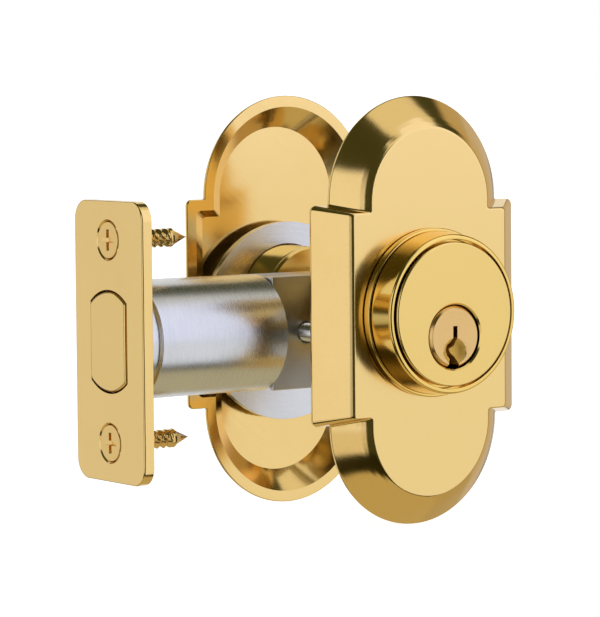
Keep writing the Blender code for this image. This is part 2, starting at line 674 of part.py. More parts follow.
def bolt_bar(middle):
    """Flat bar from the bolt's rear slot down and along under the hub, to the drive pin."""
    low, high = -LAYER - BAR_THICKNESS - GAP, -LAYER - GAP
    pin = (THROW / 2, -DRIVE_PIN_DROP)
    under, over = pin[1] - BAR_HALF_HEIGHT, pin[1] + BAR_HALF_HEIGHT
    left = -BOLT_BACK - BAR_TONGUE
    web = -BOLT_BACK + BAR_NECK
    tongue = BOLT_RADIUS * BAR_SHARE
    outline = [(left, tongue), (left, -tongue), (-BOLT_BACK + GAP, -tongue), (-BOLT_BACK + GAP, under)]
    outline += round_points(BAR_HALF_HEIGHT, 12, pin, -pi / 2, pi)
    outline += [(web, over), (web, tongue)]
    bar = slab("bolt_bar", [outline[::-1]], low, high, middle, "zinc_steel")
    reach = LAYER + FORK_THICKNESS + GAP
    join(bar, rod("drive_pin", DRIVE_PIN_RADIUS, (low + high) / 2, reach, middle, steps=16, place=pin))


def bolt(edge):
    """The bolt, drawn back: flat sides, a chamfered nose, a slot for its bar and a bore for the roller."""
    half = BOLT_THICKNESS / 2
    rise = acos(half / BOLT_RADIUS)
    outline = round_points(BOLT_RADIUS, 12, start=rise, sweep=pi - 2 * rise)
    outline += round_points(BOLT_RADIUS, 12, start=pi + rise, sweep=pi - 2 * rise)
    share = 1 - BOLT_NOSE / BOLT_RADIUS
    small = [(x * share, y * share) for x, y in outline]
    sections = [(outline, BOLT_BACK), (outline, BOLT_FACE - BOLT_NOSE), (small, BOLT_FACE)]
    body = loft("bolt", sections, edge, "polished_brass")
    # In the latch's frame X is the door's -Y, so the bar lies on the -X side.
    low, high = -LAYER - BAR_THICKNESS - 2 * GAP, -LAYER
    reach = BOLT_RADIUS + OVER
    bottom = BOLT_BACK - OVER
    slot = box("bolt_slot", (low, -reach, bottom), (high, reach, BOLT_BACK + BAR_TONGUE + GAP), edge)
    x = ROLLER_RADIUS + GAP + LAYER / 2
    tip = BOLT_FACE - ROLLER_COVER
    bore = rod("roller_bore", ROLLER_RADIUS + GAP, bottom, tip, edge, steps=20, place=(x, 0))
    cut(body, slot, bore)
    end = tip - GAP
    rod("anti_saw_roller", ROLLER_RADIUS, end - ROLLER_LENGTH, end, edge, "hard_steel", 20, place=(x, 0))


def latch_barrel(edge):
    """Tube that guides the bolt: a neck swaged in the faceplate, and a slot below for the bar."""
    inner = BARREL_RADIUS - BARREL_WALL
    top = PLATE_SEAT + SEAT_DEPTH - GAP
    shoulder = PLATE_SEAT - NECK_LENGTH
    profile = [(NECK_RADIUS, top), (NECK_RADIUS, shoulder), (BARREL_RADIUS, shoulder)]
    profile += [(BARREL_RADIUS, BARREL_BACK), (inner, BARREL_BACK), (inner, top)]
    tube = turned("latch_barrel", profile, edge, "zinc_steel", 32)
    half = LAYER + BAR_THICKNESS + 3 * GAP
    slot_end = BOLT_BACK + THROW + GAP
    low = (-half, -BARREL_RADIUS - OVER, BARREL_BACK - OVER)
    cut(tube, box("barrel_slot", low, (half, -inner / 2, slot_end), edge))


def latch_faceplate(edge):
    """Plate let into the door's edge: the bolt's opening, the barrel's seat and two countersunk holes."""
    half_x = FACEPLATE_WIDTH / 2 - FACEPLATE_CORNER
    half_y = FACEPLATE_HEIGHT / 2 - FACEPLATE_CORNER
    outline = []
    for n, (sx, sy) in enumerate(((1, 1), (-1, 1), (-1, -1), (1, -1))):
        centre = (sx * half_x, sy * half_y)
        outline += round_points(FACEPLATE_CORNER, 6, centre, n * pi / 2, pi / 2)
    half = BOLT_THICKNESS / 2 + GAP
    radius = BOLT_RADIUS + GAP
    rise = acos(half / radius)
    opening = round_points(radius, 12, start=rise, sweep=pi - 2 * rise)
    opening += round_points(radius, 12, start=pi + rise, sweep=pi - 2 * rise)
    plate = slab("latch_faceplate", [outline, opening], PLATE_SEAT, BACKSET, edge, "polished_brass")
    seat_top = PLATE_SEAT + SEAT_DEPTH
    cut(plate, rod("barrel_seat", NECK_RADIUS + GAP, PLATE_SEAT - OVER, seat_top, edge, steps=40))
    for end, y in (("upper", LATCH_SCREW_SPREAD), ("lower", -LATCH_SCREW_SPREAD)):
        head = LATCH_SCREW_HEAD + GAP
        cone = [
            (0, BACKSET + OVER),
            (head + OVER, BACKSET + OVER),
            (SCREW_RADIUS + GAP, BACKSET - head + SCREW_RADIUS + GAP),
            (SCREW_RADIUS + GAP, PLATE_SEAT - OVER),
            (0, PLATE_SEAT - OVER),
        ]
        cut(plate, turned(f"{end}_countersink", cone, edge, None, 24, place=(0, y, 0)))
        latch_screw(end, y, edge)


def latch_screw(end, y, edge):
    """Countersunk wood screw with a pointed end."""
    top = BACKSET
    bottom = top - LATCH_SCREW_LENGTH
    profile = [
        (0, top),
        (LATCH_SCREW_HEAD, top),
        (SCREW_RADIUS, top - LATCH_SCREW_HEAD + SCREW_RADIUS),
        (SCREW_RADIUS, bottom + 2 * SCREW_RADIUS),
        (0, bottom),
    ]
    screw = turned(f"latch_screw_{end}", profile, edge, "polished_brass", 24, place=(0, y, 0))
    cross_recess(screw, (0, y, top), LATCH_SCREW_HEAD * RECESS_REACH, edge)


def shade():
    """Round surfaces smooth, edges sharp."""
    sharp = radians(35)
    for made in parts.all_objects:
        if made.type == "MESH":
            made.data.shade_smooth()
            made.data.set_sharp_from_angle(angle=sharp)
        if made.type == "CURVE":
            made.data.splines[0].use_smooth = True


clear_scene()
parts = collection("deadbolt_lock")
cutters = collection("cutters")
trim_side("front", 0, 1)
trim_side("rear", 180, -1)
middle_frame = frame("middle", (0, 0, 0), (90, 0, 0))
edge_frame = frame("edge", (0, 0, 0), (90, 0, -90))
through_screws(middle_frame)
hub(middle_frame)
latch_case(middle_frame)
bolt_bar(middle_frame)
bolt(edge_frame)
latch_barrel(edge_frame)
latch_faceplate(edge_frame)
shade()
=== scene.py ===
# Looks of the double-cylinder deadbolt lock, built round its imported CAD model. Metres, +Z up: the front
# trim faces -Y, the rear trim faces +Y, and the bolt is thrown towards -X. The turned, cast and milled
# pieces that show are made again here with rounded edges and threads; the others keep their CAD shape
# and get softened edges. All of them get procedural metals.

import json
from bisect import bisect_left
from math import acos, atan2, cos, hypot, pi, radians, sin, tan

import bmesh
import bpy
from mathutils import Matrix, Vector


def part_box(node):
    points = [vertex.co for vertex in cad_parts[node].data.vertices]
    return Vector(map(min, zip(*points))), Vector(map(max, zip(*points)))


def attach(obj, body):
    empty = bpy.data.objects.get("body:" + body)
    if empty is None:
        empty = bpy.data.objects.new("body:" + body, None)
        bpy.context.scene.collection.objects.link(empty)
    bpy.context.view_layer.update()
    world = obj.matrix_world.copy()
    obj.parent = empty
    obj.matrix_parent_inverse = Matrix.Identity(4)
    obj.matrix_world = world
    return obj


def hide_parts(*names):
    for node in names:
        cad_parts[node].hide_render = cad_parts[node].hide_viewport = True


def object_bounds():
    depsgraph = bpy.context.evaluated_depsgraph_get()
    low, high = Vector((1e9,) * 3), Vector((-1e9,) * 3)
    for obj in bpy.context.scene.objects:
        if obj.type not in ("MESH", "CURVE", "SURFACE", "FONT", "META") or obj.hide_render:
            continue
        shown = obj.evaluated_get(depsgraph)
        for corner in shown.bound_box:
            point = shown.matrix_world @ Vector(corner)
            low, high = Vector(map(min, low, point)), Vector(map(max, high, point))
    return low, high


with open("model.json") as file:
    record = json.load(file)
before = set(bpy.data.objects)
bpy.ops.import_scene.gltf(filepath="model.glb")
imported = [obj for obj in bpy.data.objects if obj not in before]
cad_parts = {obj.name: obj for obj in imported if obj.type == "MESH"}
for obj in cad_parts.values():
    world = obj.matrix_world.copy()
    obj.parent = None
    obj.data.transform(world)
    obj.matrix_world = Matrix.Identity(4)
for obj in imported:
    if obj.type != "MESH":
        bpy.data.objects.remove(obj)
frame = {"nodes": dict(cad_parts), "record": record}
cad_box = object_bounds()

MM = 0.001
GAP = 0.3 * MM
OVER = 1.0 * MM
SIDES = ("front", "rear")

# Sizes that a node's box doesn't tell, from the CAD model's own sizes. First the plate
PLATE_LAND = 0.6 * MM
PLATE_BEVEL = 6.5 * MM
PLATE_WALL = 2.0 * MM
PLATE_RIM = 2.4 * MM
SHOULDER_STEP = 4.6 * MM
SHOULDER_DRAFT = 1.6 * MM
ARCH_STRAIGHT = 0.35 * MM
# The collar and the cylinder
COLLAR_BORE = 15.3 * MM
COLLAR_TAPER = 0.6 * MM
COLLAR_LIP = 2.2 * MM
BODY_RADIUS = 12.0 * MM
HEAD_THICKNESS = 3.4 * MM
PLUG_RADIUS = 6.35 * MM
PLUG_CHAMFER = 0.55 * MM
SPIGOT_STEP = 0.35 * MM
SPIGOT_LENGTH = 1.2 * MM
DOG_WALL = 1.7 * MM
DOG_SPREAD = radians(40)
DIMPLE_RADIUS = 2.8 * MM
DIMPLE_DEPTH = 0.8 * MM
DIMPLE_PLACE = (-0.1 * MM, -3.0 * MM)
FIRST_PIN = 5.9 * MM
PIN_PITCH = 3.96 * MM
PIN_RADIUS = 1.3 * MM
PIN_COUNT = 5
PIN_REACH = 7.8 * MM
CHAMBER_ROOF = 1.4 * MM
CAP_SIDE = 2.0 * MM
CAP_FLOOR = 1.3 * MM
BLADE_WIDTH = 6.0 * MM
BLADE_THICKNESS = 2.0 * MM
# The latch
THROW = 25.4 * MM
BARREL_WALL = 1.7 * MM
BARREL_STEP = 0.85 * MM
BARREL_SLOT = 7.2 * MM
NECK_LENGTH = 2.6 * MM
SEAT_DEPTH = 1.0 * MM
BOLT_NOSE = 0.8 * MM
BOLT_SLOT = (-3.3 * MM, -0.5 * MM)
BAR_TONGUE = 8.0 * MM
ROLLER_COVER = 2.5 * MM
FACEPLATE_CORNER = 4.0 * MM
SCREW_RADIUS = 2.0 * MM
MACHINE_HEAD = 1.5 * MM
RECESS_DEPTH = 1.0 * MM
RECESS_REACH = 0.55  # of the head's radius
RECESS_SLIMNESS = 4.4  # an arm's length to its width
RECESS_FLOOR = (0.45, 0.7)  # how much of its length and width an arm keeps at its floor
WOOD_POINT = (0.72, 1.6)  # radius and height of the point's neck, to the screw's radius

# Rounded edges, which the CAD model leaves out
PLATE_EDGE = 0.35 * MM  # from where the rounding of the face starts to the sharp edge that it replaces
BACK_EDGE = 0.25 * MM
FINE_EDGE = 0.12 * MM
TINY_EDGE = 0.1 * MM
RING_EDGE = 0.35 * MM
RIM_EDGE = 0.62 * MM
HEAD_EDGE = 0.42 * MM
PLUG_EDGE = 0.15 * MM
KEYWAY_EDGE = 0.16 * MM
FACEPLATE_EDGE = 0.4 * MM
DOME_EDGE = 0.7 * MM
# The corners of the plate's outline, at its back and at its face
SHOULDER_CORNER = (1.4 * MM, 0.8 * MM)
INNER_CORNER = (0.3 * MM, 0.6 * MM)
# How far the plate's bevels bulge, at shares of their width from the back, and how softly they bend there
SIDE_BULGE = [(0.4, 0.05 * MM), (0.75, 0.1 * MM), (0.88, 0.1 * MM)]
ARCH_BULGE = [(0.2, 0.14 * MM), (0.4, 0.26 * MM), (0.55, 0.31 * MM), (0.7, 0.31 * MM), (0.85, 0.21 * MM)]
BULGE_BEND = 1.5 * MM
# Heights of the plate's rings: through its back edge and bevel, and then closer and closer to its face
BACK_HEIGHTS = [0.0, 0.02 * MM, 0.07 * MM, 0.14 * MM, BACK_EDGE, 0.5 * MM, PLATE_LAND, 0.75 * MM]
BEVEL_HEIGHTS = [1.2 * MM, 1.8 * MM, 2.4 * MM, 3.0 * MM, 3.6 * MM, 4.1 * MM]
FACE_CURVE = 1.9 * MM
FACE_STEPS = 18

# Threads, which the CAD model leaves out
THREAD_STEPS = 6  # rings for each turn
CYLINDER_PITCH = 0.79375 * MM
CYLINDER_THREAD = 0.38 * MM
CYLINDER_THREAD_TOP = 9.0 * MM
WOOD_PITCH = 1.6 * MM
WOOD_THREAD = 0.55 * MM
WOOD_SHANK = 6.0 * MM
MACHINE_PITCH = 0.7 * MM
MACHINE_THREAD = 0.32 * MM
MACHINE_THREAD_END = -6.0 * MM

# Edges above these angles are shaded sharp, and softened on the new pieces and on the CAD ones
SHARP_ANGLE = radians(40)
SOFTEN_ANGLE = radians(50)
CAD_SOFTEN_ANGLE = radians(32)
WELD = 0.001 * MM


# ---------------------------------------------------------------- sizes from the frame

def size_of(node):
    """A node's low and high corners, and its size."""
    low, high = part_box(node)
    return low, high, high - low


plate_low, plate_high, plate_size = size_of("front_escutcheon")
HALF_DOOR = -plate_high.y
PLATE_HALF_WIDTH = plate_size.x / 2
PLATE_DEPTH = plate_size.y
PLUG_DROP = (plate_low.z + plate_high.z) / 2
ARCH_RADIUS = PLATE_HALF_WIDTH - SHOULDER_STEP
ARCH_CENTRE = plate_size.z / 2 - ARCH_RADIUS
SHOULDER_HEIGHT = ARCH_CENTRE - ARCH_STRAIGHT
SLEEVE_RADIUS = BODY_RADIUS + GAP
FACE = -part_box("front_plug")[0].y - HALF_DOOR


# From the frames in which pieces are drawn to the world: Z towards the front, and Z towards the bolt's throw
MIDDLE = Matrix.Rotation(pi / 2, 4, "X")
EDGE_FRAME = Matrix.Rotation(-pi / 2, 4, "Z") @ MIDDLE


def trim_place(side):
    """From a trim's own frame (X right, Y up, Z out of the door) to the world."""
    front = side == "front"
    move = Matrix.Translation((0, -HALF_DOOR if front else HALF_DOOR, 0))
    return move @ Matrix.Rotation(0 if front else pi, 4, "Z") @ MIDDLE


def centred(side):
    """The frame of the pieces that stand round the plate's centre."""
    return trim_place(side) @ Matrix.Translation((0, PLUG_DROP, 0))


def depth_range(node):
    """How far out of the door's front face a front node starts and ends."""
    low, high, _ = size_of(node)
    return -high.y - HALF_DOOR, -low.y - HALF_DOOR


# ---------------------------------------------------------------- mesh helpers

def arc(radius, start, sweep, count, centre=(0, 0)):
    """Points along an arc, with both its ends."""
    angles = [start + sweep * n / (count - 1) for n in range(count)]
    return [(centre[0] + radius * cos(a), centre[1] + radius * sin(a)) for a in angles]


def rounded(points, radii, steps=6, closed=True):
    """A 2D line with an arc of each given radius in place of each corner. A radius of 0 keeps the corner."""
    made = []
    count = len(points)
    for n, (point, radius) in enumerate(zip(points, radii)):
        if radius <= 0 or (not closed and n in (0, count - 1)):
            made.append(tuple(point))
            continue
        here = Vector(point)
        before = (Vector(points[n - 1]) - here).normalized()
        after = (Vector(points[(n + 1) % count]) - here).normalized()
        half = before.angle(after) / 2
        reach = radius / tan(half)
        first, last = here + before * reach, here + after * reach
        centre = here + (before + after).normalized() * (radius / sin(half))
        start = atan2(first.y - centre.y, first.x - centre.x)
        end = atan2(last.y - centre.y, last.x - centre.x)
        sweep = (end - start + pi) % (2 * pi) - pi
        made += arc(radius, start, sweep, steps + 1, centre)
    return made


def finish_mesh(name, work, place):
    """A new object from a bmesh, moved to its place in the world."""
    bmesh.ops.recalc_face_normals(work, faces=work.faces)
    mesh = bpy.data.meshes.new(name)
    work.to_mesh(mesh)
    work.free()
    mesh.transform(place)
    made = bpy.data.objects.new(name, mesh)
    bpy.context.scene.collection.objects.link(made)
    smooth(made)
    return made


def smooth(made):
    """Smooth shading, but for the sharp edges."""
    made.data.shade_smooth()
    made.data.set_sharp_from_angle(angle=SHARP_ANGLE)


def weigh(made):
    """Flat faces keep flat shading up to their rounded edges."""
    step = made.modifiers.new("weigh", "WEIGHTED_NORMAL")
    step.keep_sharp = True
    step.weight = 100


def tooth(turns):
    """A thread's section: 0 at the crest and 1 at the root."""
    return 1 - abs(2 * (turns % 1) - 1)


def thread(radius, high, low, depth, pitch):
    """Profile points down a threaded stretch, fading out at both ends."""
    count = int((high - low) / pitch * THREAD_STEPS)
    made = []
    for n in range(count + 1):
        height = high + (low - high) * n / count
        fade = min(1, (high - height) / pitch, (height - low) / pitch)
        made.append((radius, height, depth * max(fade, 0)))
    return made


def turned_mesh(profile, steps, pitch):
    """A bmesh turned about Z from points (radius, height) or (radius, height, thread depth)."""
    work = bmesh.new()
    rings = []
    for point in profile:
        radius, height = point[:2]
        depth = point[2] if len(point) > 2 else 0
        if radius == 0:
            rings.append([work.verts.new((0, 0, height))])
            continue
        ring = []
        for n in range(steps):
            share = n / steps
            here = radius - depth * tooth(height / pitch - share)
            ring.append(work.verts.new((here * cos(2 * pi * share), here * sin(2 * pi * share), height)))
        rings.append(ring)
    open_line = len(rings[0]) == 1 or len(rings[-1]) == 1
    pairs = list(zip(rings, rings[1:]))
    if not open_line:
        pairs.append((rings[-1], rings[0]))
    for upper, lower in pairs:
        if len(upper) == 1 and len(lower) == 1:
            continue
        for n in range(steps):
            after = (n + 1) % steps
            if len(upper) == 1:
                work.faces.new((upper[0], lower[n], lower[after]))
            elif len(lower) == 1:
                work.faces.new((upper[after], upper[n], lower[0]))
            else:
                work.faces.new((upper[after], upper[n], lower[n], lower[after]))
    return work


def turned(name, profile, place, steps=128, pitch=1.0):
    """A turned object. The pitch matters only where the profile has a thread."""
    return finish_mesh(name, turned_mesh(profile, steps, pitch), place)


def lofted_mesh(rings, close_ends=True):
    """A bmesh through rings of equally many points (x, y, z), closed with a flat face at each end."""
    work = bmesh.new()
    verts = [[work.verts.new(point) for point in ring] for ring in rings]
    for lower, upper in zip(verts, verts[1:]):
        for n in range(len(lower)):
            after = (n + 1) % len(lower)
            work.faces.new((lower[n], lower[after], upper[after], upper[n]))
    if close_ends:
        work.faces.new(verts[0][::-1])
        work.faces.new(verts[-1])
    return work, verts


def at_height(outline, height):
    """A 2D outline as a ring of points at this height."""
    return [(x, y, height) for x, y in outline]


def prism(name, outline, low, high, place):
    """An outline drawn out along Z."""
    work, _ = lofted_mesh([at_height(outline, low), at_height(outline, high)])
    return finish_mesh(name, work, place)


def block(name, low, high, place):
    """A box between two corners, for use as a cutter."""
    outline = [(low[0], low[1]), (high[0], low[1]), (high[0], high[1]), (low[0], high[1])]
    return prism(name, outline, low[2], high[2], place)


def merged(name, *made):
    """One object from several, for use as one cutter."""
    work = bmesh.new()
    for each in made:
        work.from_mesh(each.data)
        bpy.data.objects.remove(each)
    return finish_mesh(name, work, Matrix.Identity(4))


def cut(target, *cutters, operation="DIFFERENCE"):
    """Booleans, applied, with the cutters removed."""
    for cutter in cutters:
        step = target.modifiers.new("cut", "BOOLEAN")
        step.operation = operation
        step.object = cutter
        step.solver = "EXACT"
    graph = bpy.context.evaluated_depsgraph_get()
    mesh = bpy.data.meshes.new_from_object(target.evaluated_get(graph))
    target.modifiers.clear()
    target.data = mesh
    smooth(target)
    for cutter in cutters:
        bpy.data.objects.remove(cutter)


def soften(made, width, segments=2, angle=SOFTEN_ANGLE):
    """Small rounded edges where faces meet at more than this angle."""
    step = made.modifiers.new("soften", "BEVEL")
    step.width = width
    step.segments = segments
    step.limit_method = "ANGLE"
    step.angle_limit = angle
    step.miter_outer = "MITER_ARC"
    step.use_clamp_overlap = True


# ---------------------------------------------------------------- node helpers and metals

class Tree:
    """Short calls for making nodes, each of which gives the new node's output."""

    MIX_SOCKETS = {"RGBA": (6, 7, 2), "VECTOR": (4, 5, 1)}

    def __init__(self, tree):
        self.tree = tree
        tree.nodes.clear()

    def add(self, kind, inputs=(), **settings):
        node = self.tree.nodes.new("ShaderNode" + kind)
        for key, value in settings.items():
            setattr(node, key, value)
        for key, value in dict(inputs).items():
            self.put(node.inputs[key], value)
        return node

    def put(self, socket, value):
        if isinstance(value, bpy.types.NodeSocket):
            self.tree.links.new(value, socket)
        else:
            socket.default_value = value

    def math(self, operation, *values):
        node = self.add("Math", operation=operation)
        for socket, value in zip(node.inputs, values):
            self.put(socket, value)
        return node.outputs[0]

    def span(self, value, low, high, to_low, to_high, kind="LINEAR"):
        node = self.add("MapRange", interpolation_type=kind)
        for socket, each in zip(node.inputs, (value, low, high, to_low, to_high)):
            self.put(socket, each)
        return node.outputs[0]

    def sum(self, one, other):
        return self.math("ADD", one, other)

    def product(self, one, other):
        return self.math("MULTIPLY", one, other)

    def vector(self, operation, one, other):
        node = self.add("VectorMath", operation=operation)
        self.put(node.inputs[0], one)
        self.put(node.inputs[1], other)
        return node.outputs[0]

    def scaled(self, vector, factor):
        node = self.add("VectorMath", {"Scale": factor}, operation="SCALE")
        self.put(node.inputs[0], vector)
        return node.outputs[0]

    def mix(self, kind, factor, one, other):
        node = self.add("Mix", data_type=kind)
        first, second, result = self.MIX_SOCKETS[kind]
        for index, value in ((0, factor), (first, one), (second, other)):
            self.put(node.inputs[index], value)
        return node.outputs[result]

    def noise(self, vector, scale, detail=3.0):
        return self.add("TexNoise", {"Vector": vector, "Scale": scale, "Detail": detail}).outputs["Fac"]

    def place(self):
        return self.add("TexCoord").outputs["Object"]

    def parts(self, vector):
        return self.add("SeparateXYZ", {"Vector": vector}).outputs

    def stretched(self, vector, scale, rotation=(0.0, 0.0, 0.0)):
        return self.add("Mapping", {"Vector": vector, "Scale": scale, "Rotation": rotation}).outputs[0]


# Tool marks, in lines to the metre across them and along them
BRUSH_FINE = 6500.0
BRUSH_LONG = 130.0
POLISH_MARKS = (160.0, 3600.0, 3600.0)
POLISH_SLANT = radians(-38)
LATHE_FINE = 5000.0
LATHE_LONG = 3.0  # to the radian
# Softer unevenness, to the metre
CLOUDS = 90.0
WAVES = 160.0
GRAINS = 2600.0
NOISE_RANGE = (0.3, 0.7)
# How far the colour moves towards the deeper tone, how far the roughness wanders, and the relief's parts
TONE_WANDER = 0.35
ROUGHNESS_WANDER = 0.05
LINE_RELIEF = 0.6
WAVE_RELIEF = 1.6
RELIEF_DEPTH = 0.02 * MM
COAT_ROUGHNESS = 0.04
COAT_IOR = 1.5


def brushed(along):
    """A function that gives coordinates in which fine brush lines run along one axis (0, 1 or 2)."""
    scale = [BRUSH_FINE] * 3
    scale[along] = BRUSH_LONG
    return lambda tree: tree.stretched(tree.place(), scale)


def lathed(axis, centre=(0.0, 0.0, 0.0)):
    """A function that gives coordinates in which fine lines run round an axis through this point."""

    def marks(tree):
        parts = tree.parts(tree.vector("SUBTRACT", tree.place(), centre))
        across = [parts[n] for n in range(3) if n != axis]
        radius = tree.math("SQRT", tree.sum(*[tree.product(part, part) for part in across]))
        fine = [tree.product(length, LATHE_FINE) for length in (radius, parts[axis])]
        turn = tree.product(tree.math("ARCTAN2", *across), LATHE_LONG)
        return tree.add("CombineXYZ", {"X": fine[0], "Y": fine[1], "Z": turn}).outputs[0]

    return marks


def face_mask(tree):
    """1 on the plates' flat faces and 0 on their edges."""
    depth = tree.math("ABSOLUTE", tree.parts(tree.place())[1])
    top = HALF_DOOR + PLATE_DEPTH
    return tree.span(depth, top - 0.12 * MM, top - 0.02 * MM, 0.0, 1.0)


def dimple_mask(tree):
    """1 in the plugs' dimples, under the face and near the dimple's axis."""
    parts = tree.parts(tree.place())
    drop = tree.math("SUBTRACT", parts[2], DIMPLE_PLACE[1])
    away = tree.math("SQRT", tree.sum(tree.product(parts[0], parts[0]), tree.product(drop, drop)))
    near = tree.span(away, DIMPLE_RADIUS + 0.1 * MM, DIMPLE_RADIUS + 0.2 * MM, 1.0, 0.0)
    depth = tree.math("ABSOLUTE", parts[1])
    top = HALF_DOOR + FACE
    return tree.product(near, tree.span(depth, top - 0.04 * MM, top - 0.01 * MM, 1.0, 0.0))


def plate_marks(tree):
    """Upright brush lines on the plates' faces, and slanting polishing lines on their bevels."""
    slanting = tree.stretched(tree.place(), (1.0, 1.0, 1.0), (0.0, POLISH_SLANT, 0.0))
    slanting = tree.stretched(slanting, POLISH_MARKS)
    return tree.mix("VECTOR", tree.math("ROUND", face_mask(tree)), slanting, brushed(2)(tree))


def metal(name, tone, deep, roughness, marks, bump, coat=0.0, pits=0.0, second=None):
    """A procedural metal: two close tones, fine tool marks, and a roughness that wanders.

    marks is a function from the node tree to the coordinates of the tool marks. second gives a mask
    function with the tone and roughness where it is 1.
    """
    made = bpy.data.materials.new(name)
    made.use_nodes = True
    tree = Tree(made.node_tree)
    lines = tree.noise(marks(tree), 1.0)
    mottle = tree.sum(tree.product(lines, 0.5), tree.product(tree.noise(tree.place(), CLOUDS), 0.5))
    shift = tree.span(mottle, *NOISE_RANGE, 0.0, TONE_WANDER)
    colour = tree.mix("RGBA", shift, (*tone, 1.0), (*deep, 1.0))
    ends = (roughness - ROUGHNESS_WANDER, roughness + ROUGHNESS_WANDER)
    rough = tree.span(mottle, *NOISE_RANGE, *ends)
    if second:
        find_mask, second_tone, second_roughness = second
        mask = find_mask(tree)
        colour = tree.mix("RGBA", mask, colour, (*second_tone, 1.0))
        rough = tree.sum(rough, tree.product(mask, second_roughness - roughness))
    relief = tree.product(lines, LINE_RELIEF)
    if pits:
        relief = tree.sum(relief, tree.product(tree.noise(tree.place(), GRAINS, 2.0), pits))
    relief = tree.sum(relief, tree.product(tree.noise(tree.place(), WAVES, 1.0), WAVE_RELIEF))
    normal = tree.add("Bump", {"Height": relief, "Strength": bump, "Distance": RELIEF_DEPTH}).outputs[0]
    shader = tree.add("BsdfPrincipled", {
        "Base Color": colour, "Roughness": rough, "Metallic": 1.0, "Normal": normal,
        "Coat Weight": coat, "Coat Roughness": COAT_ROUGHNESS, "Coat IOR": COAT_IOR,
    })
    tree.add("OutputMaterial", {"Surface": shader.outputs[0]})
    return made


ALONG_X = brushed(0)
ALONG_Z = brushed(2)
ROUND_X = lathed(0)
ROUND_PLUG = lathed(1)
ROUND_COLLAR = lathed(1, (0.0, 0.0, PLUG_DROP))
GOLD = (0.90, 0.64, 0.24)
DEEP_GOLD = (0.84, 0.55, 0.17)
ZINC = (0.72, 0.72, 0.70)

# For each metal: its name, tone and deeper tone, roughness, tool marks, strength of the relief, and coat
METALS = {
    "plate": metal("plate_brass", GOLD, DEEP_GOLD, 0.12, plate_marks, 0.3, 0.3,
                   second=(face_mask, GOLD, 0.17)),
    "collar": metal("collar_brass", (0.92, 0.64, 0.18), (0.87, 0.56, 0.12), 0.12, ROUND_COLLAR, 0.35, 0.12),
    "disc": metal("disc_brass", (0.89, 0.63, 0.20), (0.84, 0.57, 0.16), 0.15, ALONG_X, 0.3, 0.3),
    "plug": metal("plug_brass", (0.80, 0.53, 0.21), (0.74, 0.46, 0.16), 0.24, ROUND_PLUG, 0.5,
                  second=(dimple_mask, (0.84, 0.54, 0.12), 0.6)),
    "turned": metal("turned_brass", (0.80, 0.58, 0.22), (0.66, 0.44, 0.14), 0.28, ROUND_PLUG, 0.8),
    "bolt": metal("bolt_brass", (0.88, 0.63, 0.24), DEEP_GOLD, 0.16, ALONG_X, 0.6, 0.2),
    "faceplate": metal("faceplate_brass", GOLD, DEEP_GOLD, 0.15, ALONG_Z, 0.5, 0.4),
    "screw": metal("screw_brass", (0.86, 0.60, 0.22), DEEP_GOLD, 0.2, ROUND_X, 0.4, 0.2),
    "zinc": metal("zinc_plate", ZINC, (0.56, 0.57, 0.60), 0.3, ALONG_Z, 0.6, pits=0.8),
    "zinc_bar": metal("zinc_bar", (0.68, 0.68, 0.66), (0.52, 0.53, 0.56), 0.32, ALONG_X, 0.7, pits=0.8),
    "zinc_turned": metal("zinc_turned", ZINC, (0.55, 0.56, 0.59), 0.26, ROUND_PLUG, 0.6),
    "barrel": metal("barrel_zinc", ZINC, (0.58, 0.59, 0.62), 0.27, ROUND_X, 0.6),
    "hard": metal("hard_steel", (0.42, 0.42, 0.43), (0.30, 0.30, 0.32), 0.3, ROUND_X, 0.5),
    "spring": metal("spring_steel", (0.58, 0.58, 0.60), (0.44, 0.44, 0.47), 0.25, ALONG_Z, 0.3),
}

BODY_OF = {node: body for body, nodes in frame["record"]["behaviour"]["bodies"].items() for node in nodes}


def stand_for(made, node, finish):
    """The new piece takes its CAD node's place: body and metal."""
    weigh(made)
    made.data.materials.clear()
    made.data.materials.append(METALS[finish])
    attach(made, BODY_OF[node])
    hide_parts(node)


def dress(node, finish, edge):
    """A CAD node keeps its shape and gets a metal and, unless edge is 0, softened edges."""
    made = frame["nodes"][node]
    made.data.materials.clear()
    made.data.materials.append(METALS[finish])
    made.data.shade_smooth()
    weld = made.modifiers.new("weld", "WELD")
    weld.merge_threshold = WELD
    if edge:
        soften(made, edge, angle=CAD_SOFTEN_ANGLE)
    weigh(made)


# ---------------------------------------------------------------- trims

def wall_profile(run, bulges=()):
    """Points (inset, height) up the plate's edge: rounded back, land, bulging wall and rounded face edge."""
    rise = PLATE_DEPTH - PLATE_LAND
    length = hypot(run, rise)
    line = [(2 * BACK_EDGE, 0), (0, 0), (0, PLATE_LAND)]
    radii = [0, BACK_EDGE, BACK_EDGE]
    for share, bulge in bulges:
        line.append((run * share - bulge * rise / length, PLATE_LAND + rise * share + bulge * run / length))
        radii.append(BULGE_BEND)
    last = line[-1]
    turn = atan2(PLATE_DEPTH - last[1], run - last[0])
    line += [(run, PLATE_DEPTH), (run + 5 * PLATE_EDGE, PLATE_DEPTH)]
    radii += [PLATE_EDGE / tan(turn / 2), 0]
    return rounded(line, radii, 12, closed=False)


def inset_at(profile, height):
    """The inset where the profile first reaches this height."""
    rising = profile[1:-1]
    heights = [point[1] for point in rising]
    n = min(max(bisect_left(heights, height - 1e-9), 1), len(rising) - 1)
    (x0, z0), (x1, z1) = rising[n - 1], rising[n]
    share = 0 if z1 == z0 else min(max((height - z0) / (z1 - z0), 0), 1)
    return x0 + (x1 - x0) * share


